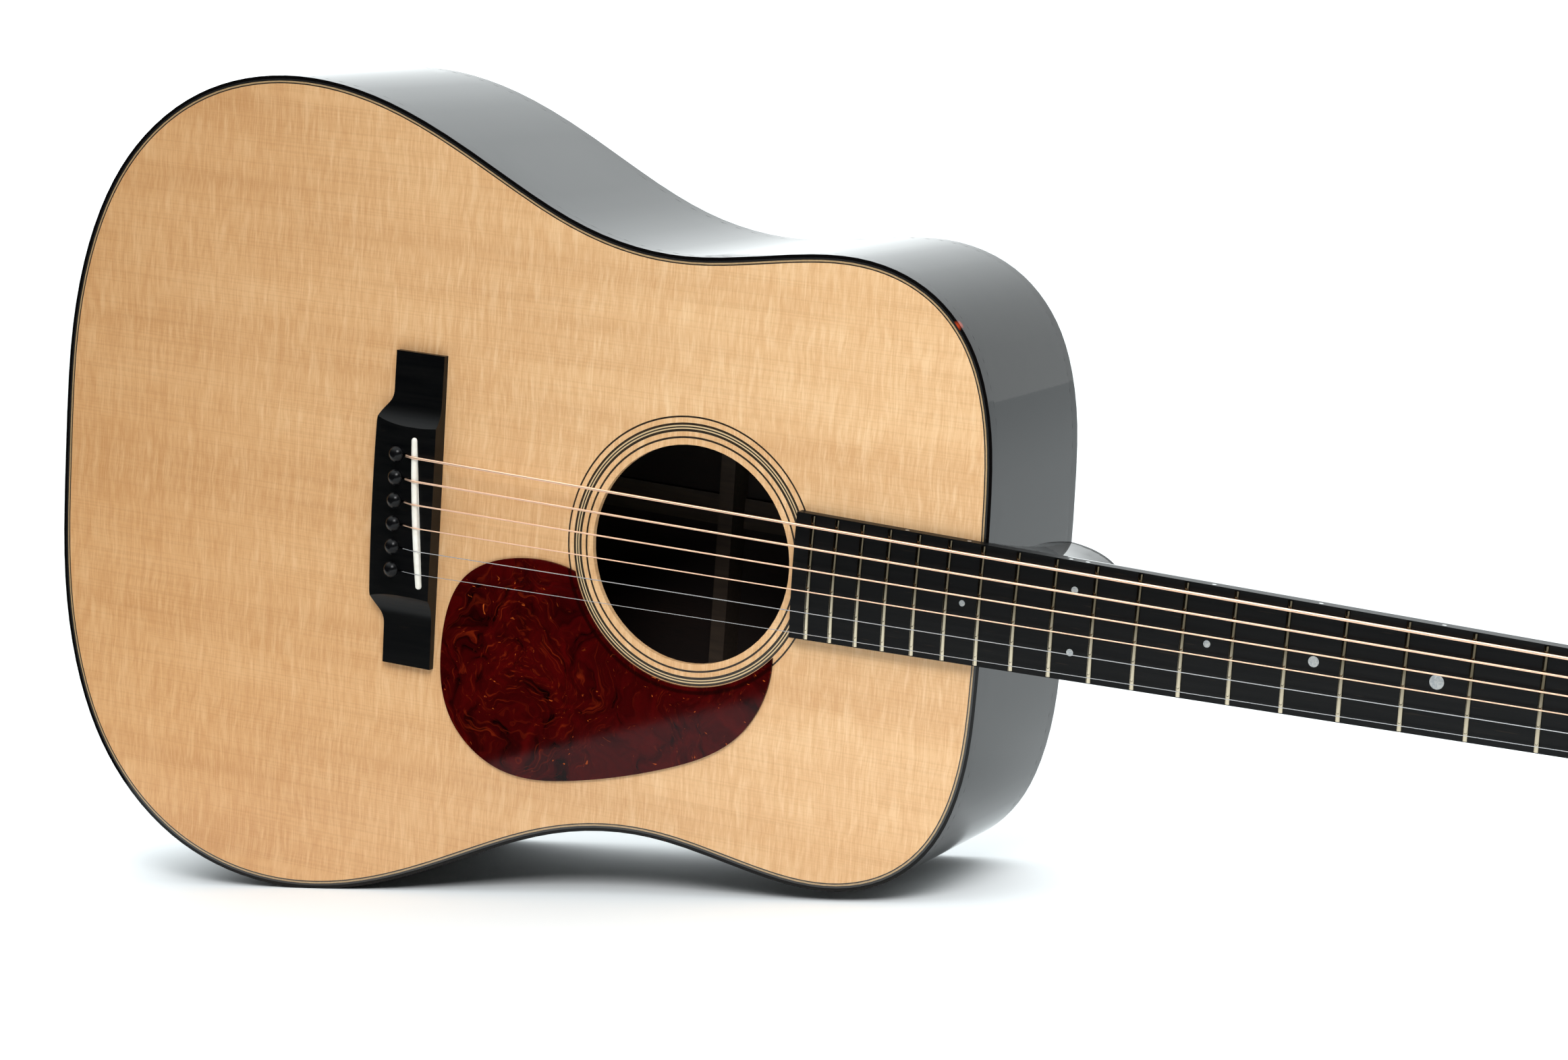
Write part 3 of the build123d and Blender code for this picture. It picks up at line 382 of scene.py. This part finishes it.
def bone():
    tree = Tree("bone")
    cloud = tree.noise(tree.guitar(), 260.0, 3.0)
    colour = tree.ramp(cloud, [(0.3, (0.80, 0.77, 0.68)), (0.7, (0.90, 0.88, 0.81))])
    tree.set(Base_Color=colour, Roughness=0.28)
    tree.set(Subsurface_Weight=0.1, Subsurface_Radius=(0.002, 0.0015, 0.001))
    return tree.material


def black_plastic():
    tree = Tree("black_plastic")
    marks = tree.noise(tree.guitar(), 900.0, 2.0)
    tree.set(Base_Color=(0.003, 0.003, 0.0035, 1.0), Specular_IOR_Level=0.18)
    tree.set(Roughness=tree.ramp(marks, [(0.3, 0.18), (0.7, 0.28)]))
    return tree.material


def metal(name, colour, roughness, streak=(40, 900, 900)):
    """Polished or drawn metal with fine marks."""
    tree = Tree(name)
    marks = tree.noise(tree.scaled(tree.guitar(), *streak), 1.0, 3.0, 0.6)
    tree.set(Base_Color=(*colour, 1.0), Metallic=1.0)
    tree.set(Roughness=tree.ramp(marks, [(0.3, roughness * 0.8), (0.7, roughness * 1.3)]))
    return tree.material


def fret_wire_painted_reflection():
    """Nickel silver fret wire with a painted reflection: its colour is dark towards the bass side and bright
    towards the treble side, where the wire mirrors the white floor.
    """
    tree = Tree("fret_wire_painted_reflection")
    across = tree.parts(tree.guitar())[1]
    # Painted reflection: dark wire colour towards the bass side, bright towards the treble side.
    bass = band(tree, across, -0.024, 0.004)
    painted_reflection_colour = tree.mix(bass, (0.48, 0.42, 0.31, 1.0), (0.085, 0.070, 0.046, 1.0))
    tree.set(Base_Color=painted_reflection_colour, Metallic=1.0, Roughness=0.12)
    return tree.material


def wound_string():
    """Bronze wire wound closely round the string's core."""
    tree = Tree("wound_string")
    axes = tree.parts(tree.guitar())
    turns = tree.math("SINE", tree.math("MULTIPLY", axes[0], 2 * math.pi / 0.00035))
    tree.set(Base_Color=(0.95, 0.63, 0.45, 1.0), Metallic=1.0, Roughness=0.3)
    tree.bump(turns, 0.35, 0.00008)
    return tree.material


def pearl():
    tree = Tree("pearl")
    cloud = tree.noise(tree.guitar(), 700.0, 3.0, 0.6, 1.0)
    tint = tree.ramp(cloud, [
        (0.3, (0.22, 0.25, 0.27)), (0.5, (0.32, 0.34, 0.34)), (0.7, (0.42, 0.42, 0.40)),
    ])
    tree.set(Base_Color=tint, Roughness=0.22, Coat_Weight=0.6, Coat_Roughness=0.05)
    return tree.material


def studio_white():
    tree = Tree("studio_white")
    tree.set(Base_Color=(0.84, 0.86, 0.87, 1.0), Roughness=0.9, Specular_IOR_Level=0.1)
    return tree.material


def give(material, *names):
    """Puts a material on CAD nodes."""
    for name in names:
        mesh = frame["nodes"][name].data
        mesh.materials.clear()
        mesh.materials.append(material)


def dress():
    numbers = range(1, 7)
    nickel = metal("nickel", (0.78, 0.76, 0.72), 0.16)
    give(spruce_top(), "soundboard_bass_half", "soundboard_treble_half")
    give(shell_wood("back_wood", faces_out), "back_bass_half", "back_treble_half")
    give(shell_wood("side_wood", faces_in), "side_bass", "side_treble")
    give(dark_wood("neck_wood"), "neck")
    give(binding(), "top_binding", "back_binding")
    give(rosette_rings(), "rosette")
    give(
        inner_wood("inner_mahogany", (0.02, 0.009, 0.006), (0.045, 0.020, 0.013)),
        "neck_block", "tail_block", "linings", "bridge_plate",
    )
    # The braces get a far darker colour than spruce has: painted shade for the inside of the body.
    give(
        inner_wood("brace_spruce", (0.050, 0.033, 0.022), (0.072, 0.048, 0.031)),
        "x_brace", "tone_bars", "finger_braces", "upper_braces", "back_braces", "back_centre_strip",
    )
    give(tortoise(), "pickguard")
    give(ebony("bridge_ebony", 0.3, 0.05), "bridge")
    give(ebony("board_ebony", 0.4), "fingerboard", "head_plate", "heel_cap")
    give(bone(), "saddle", "nut")
    give(black_plastic(), "end_pin", *[f"bridge_pin_{number}" for number in numbers])
    give(metal("steel", (0.5, 0.5, 0.5), 0.35), "truss_rod", "truss_rod_nut")
    give(fret_wire_painted_reflection(), "frets")
    give(nickel, "tuner_base_plates", "tuner_screws", "tuner_bushings")
    give(nickel, *[f"string_post_{number}" for number in numbers])
    give(nickel, *[f"tuner_button_{number}" for number in numbers])
    give(metal("plain_string", (0.55, 0.55, 0.56), 0.2), "string_1", "string_2")
    give(wound_string(), *[f"string_{number}" for number in range(3, 7)])
    give(pearl(), "position_dots")


# ------------------------------------------------------------------ purfling lines
def patches(mesh):
    """The mesh's polygons in groups that share vertices, in the mesh's order."""
    users = {}
    for polygon in mesh.polygons:
        for vertex in polygon.vertices:
            users.setdefault(vertex, []).append(polygon.index)
    unseen = set(range(len(mesh.polygons)))
    groups = []
    for start in range(len(mesh.polygons)):
        queue = [start] if start in unseen else []
        unseen.discard(start)
        group = []
        while queue:
            index = queue.pop()
            group.append(index)
            for vertex in mesh.polygons[index].vertices:
                fresh = [other for other in users[vertex] if other in unseen]
                unseen.difference_update(fresh)
                queue.extend(fresh)
        if group:
            groups.append(group)
    return groups


def welded(mesh, polygons):
    """Some of a mesh's polygons with their shared edges joined."""
    piece = bmesh.new()
    corners = {}
    for index in polygons:
        for vertex in mesh.polygons[index].vertices:
            if vertex not in corners:
                corners[vertex] = piece.verts.new(mesh.vertices[vertex].co)
        piece.faces.new([corners[vertex] for vertex in mesh.polygons[index].vertices])
    bmesh.ops.remove_doubles(piece, verts=piece.verts, dist=1e-7)
    return piece


def solids(node):
    """A CAD node's solids as new meshes. Its mesh lists one solid's surfaces after another's, each a patch."""
    source = frame["nodes"][node].data
    meshes = []
    polygons = []
    for patch in patches(source):
        polygons += patch
        piece = welded(source, polygons)
        if all(len(edge.link_faces) == 2 for edge in piece.edges):
            mesh = bpy.data.meshes.new(node + "_solid")
            piece.to_mesh(mesh)
            meshes.append(mesh)
            polygons = []
        piece.free()
    return meshes


def span(mesh):
    return max(vertex.co.x for vertex in mesh.vertices) - min(vertex.co.x for vertex in mesh.vertices)


def purfling_lines():
    """The top's inlaid lines from the binding inwards: a dark one, two light ones and a dark one."""
    light = line_wood("purfling_light", (0.46, 0.31, 0.16))
    dark = line_wood("purfling_dark", (0.012, 0.012, 0.012))
    meshes = sorted(solids("top_purfling"), key=span, reverse=True)
    for index, (mesh, wood) in enumerate(zip(meshes, (dark, light, light, dark))):
        line = bpy.data.objects.new(f"purfling_line_{index + 1}", mesh)
        bpy.context.scene.collection.objects.link(line)
        mesh.materials.append(wood)
        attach(line, "guitar")
        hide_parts("top_purfling")


# ------------------------------------------------------------------ camera, floor and light
CAMERA_PLACE = Vector((0.69484, -1.58924, 0.37495))
CAMERA_FORWARD = Vector((-0.45624, 0.88221, -0.11638))
CAMERA_UP = Vector((0.0206, 0.14122, 0.98976))
CAMERA_LENS = 87.69
WORLD_FRONT = 0.02
WORLD_BEHIND = 1.75
WORLD_ABOVE = 1.9
WORLD_SEEN = 1.1
WORLD_TINT = (0.94, 0.99, 1.0, 1.0)
KEY_PLACE = (0.6, -1.45, 1.45)
KEY_TARGET = (-0.1, 0.0, 0.2)
KEY_SIZE = (0.8, 0.8)
KEY_POWER = 27.0
FLOOR_REACH = 12.0
FLOOR_FRONT = ((-FLOOR_REACH, -0.30), (-0.49, -0.30), (-0.28, -0.90), (FLOOR_REACH, -0.90))


def camera():
    data = bpy.data.cameras.new("camera")
    data.sensor_width = 36.0
    data.lens = CAMERA_LENS
    data.clip_end = 60.0
    item = bpy.data.objects.new("camera", data)
    bpy.context.scene.collection.objects.link(item)
    forward = CAMERA_FORWARD.normalized()
    right = forward.cross(CAMERA_UP).normalized()
    up = right.cross(forward)
    turn = Matrix((right, up, -forward)).transposed().to_4x4()
    item.matrix_world = Matrix.Translation(CAMERA_PLACE) @ turn
    bpy.context.scene.camera = item


def floor():
    """A wide white floor that ends in front of the guitar, nearer on the tail's side."""
    mesh = bpy.data.meshes.new("floor")
    outline = [*FLOOR_FRONT, (FLOOR_REACH, FLOOR_REACH), (-FLOOR_REACH, FLOOR_REACH)]
    mesh.from_pydata([(x, y, 0) for x, y in outline], [], [tuple(range(len(outline)))])
    mesh.materials.append(studio_white())
    item = bpy.data.objects.new("floor", mesh)
    bpy.context.scene.collection.objects.link(item)


def area_light(name, place, target, size, power):
    data = bpy.data.lights.new(name, "AREA")
    data.shape = "RECTANGLE"
    data.size, data.size_y = size
    data.energy = power
    item = bpy.data.objects.new(name, data)
    bpy.context.scene.collection.objects.link(item)
    item.location = place
    item.rotation_euler = (Vector(target) - Vector(place)).to_track_quat("-Z", "Y").to_euler()


def lights():
    """A white studio, bright above and behind the guitar and dark in front of it, with a soft key lamp."""
    world = bpy.data.worlds.new("world")
    bpy.context.scene.world = world
    world.use_nodes = True
    nodes = world.node_tree.nodes
    links = world.node_tree.links
    background = nodes["Background"]
    direction = nodes.new("ShaderNodeSeparateXYZ")
    links.new(nodes.new("ShaderNodeTexCoord").outputs["Generated"], direction.inputs[0])

    def smooth(axis, low, high, start, end):
        node = nodes.new("ShaderNodeMapRange")
        node.interpolation_type = "SMOOTHSTEP"
        links.new(direction.outputs[axis], node.inputs["Value"])
        for name, value in (("From Min", low), ("From Max", high), ("To Min", start), ("To Max", end)):
            node.inputs[name].default_value = value
        return node.outputs["Result"]

    def combine(operation, first, second):
        node = nodes.new("ShaderNodeMath")
        node.operation = operation
        for index, value in enumerate((first, second)):
            if isinstance(value, bpy.types.NodeSocket):
                links.new(value, node.inputs[index])
            else:
                node.inputs[index].default_value = value
        return node.outputs[0]

    behind = smooth("Y", 0.05, 0.6, WORLD_FRONT, WORLD_BEHIND)
    above = smooth("Z", 0.35, 0.95, 0.0, WORLD_ABOVE)
    seen = nodes.new("ShaderNodeLightPath").outputs["Is Camera Ray"]
    shown = combine("MULTIPLY", seen, WORLD_SEEN)
    links.new(combine("MAXIMUM", combine("ADD", behind, above), shown), background.inputs["Strength"])
    background.inputs["Color"].default_value = WORLD_TINT
    area_light("key", KEY_PLACE, KEY_TARGET, KEY_SIZE, KEY_POWER)
    bpy.context.scene.view_settings.view_transform = "Standard"


dress()
purfling_lines()
camera()
floor()
lights()
